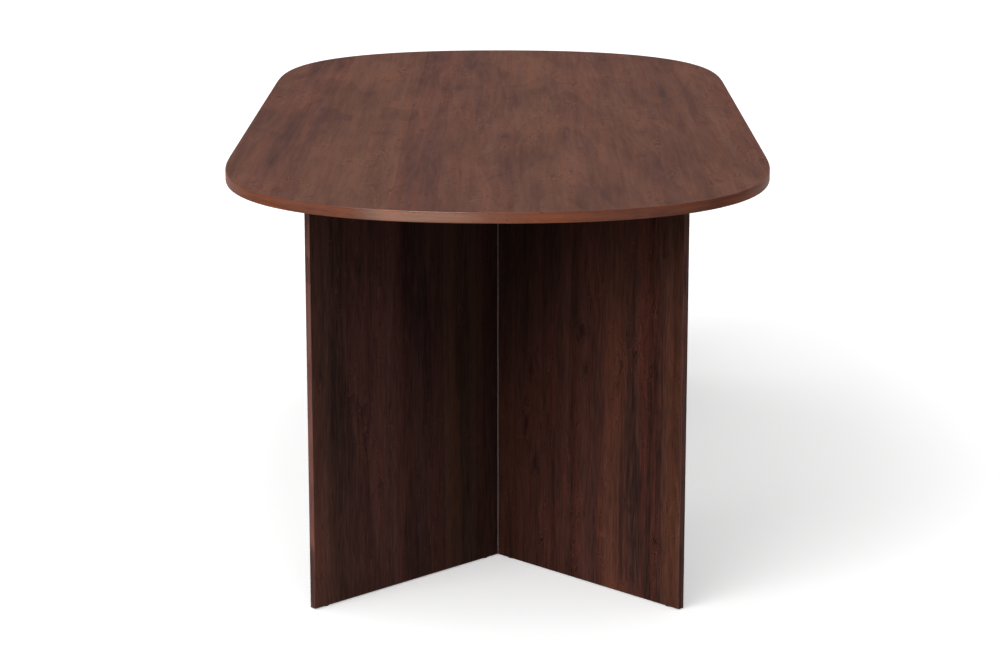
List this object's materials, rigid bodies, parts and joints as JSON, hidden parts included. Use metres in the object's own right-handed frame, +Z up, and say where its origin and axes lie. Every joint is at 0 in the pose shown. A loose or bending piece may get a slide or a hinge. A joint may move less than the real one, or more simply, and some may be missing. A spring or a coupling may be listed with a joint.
{
  "type": "oval dining table",
  "caption": "Long dining table with a softly squared oval board top on V-shaped panel legs that open towards its ends.",
  "frame": {"origin": "at floor level, under the middle of the top", "axes": "+Z up, +Y along the top's length, +X across it"},
  "size_m": [1, 2.2, 0.76],
  "materials": {
    "top_laminate": "satin dark red-brown wood-grain laminate",
    "top_band": "satin plastic edge band, redder and lighter than the laminate",
    "leg_laminate": "satin dark red-brown wood-grain laminate, grain upright",
    "leg_band": "satin plastic edge band",
    "seal_strip": "matte pale sealing strip",
    "zinc_steel": "bright zinc-plated steel",
    "bracket_steel": "dull zinc-plated steel",
    "cam_metal": "die-cast zinc",
    "cap_plastic": "moulded brown plastic",
    "dowel_wood": "plain beech",
    "glide_plastic": "moulded black plastic"
  },
  "bodies": {
    "root": {"tabletop_core": "top_laminate", "tabletop_edge_band": "top_band", "front_through_panel": "leg_laminate", "front_butt_panel": "leg_laminate", "front_outer_bands": "leg_band", "front_corner_band": "leg_band", "front_seal_strip": "seal_strip", "front_cam_bolts": "zinc_steel", "front_cam_locks": "cam_metal", "front_cam_caps": "cap_plastic", "front_dowels": "dowel_wood", "front_brackets": "bracket_steel", "front_top_screws": "zinc_steel", "front_panel_screws": "zinc_steel", "front_floor_glides": "glide_plastic", "rear_through_panel": "leg_laminate", "rear_butt_panel": "leg_laminate", "rear_outer_bands": "leg_band", "rear_corner_band": "leg_band", "rear_seal_strip": "seal_strip", "rear_cam_bolts": "zinc_steel", "rear_cam_locks": "cam_metal", "rear_cam_caps": "cap_plastic", "rear_dowels": "dowel_wood", "rear_brackets": "bracket_steel", "rear_top_screws": "zinc_steel", "rear_panel_screws": "zinc_steel", "rear_floor_glides": "glide_plastic"}
  },
  "joints": []
}
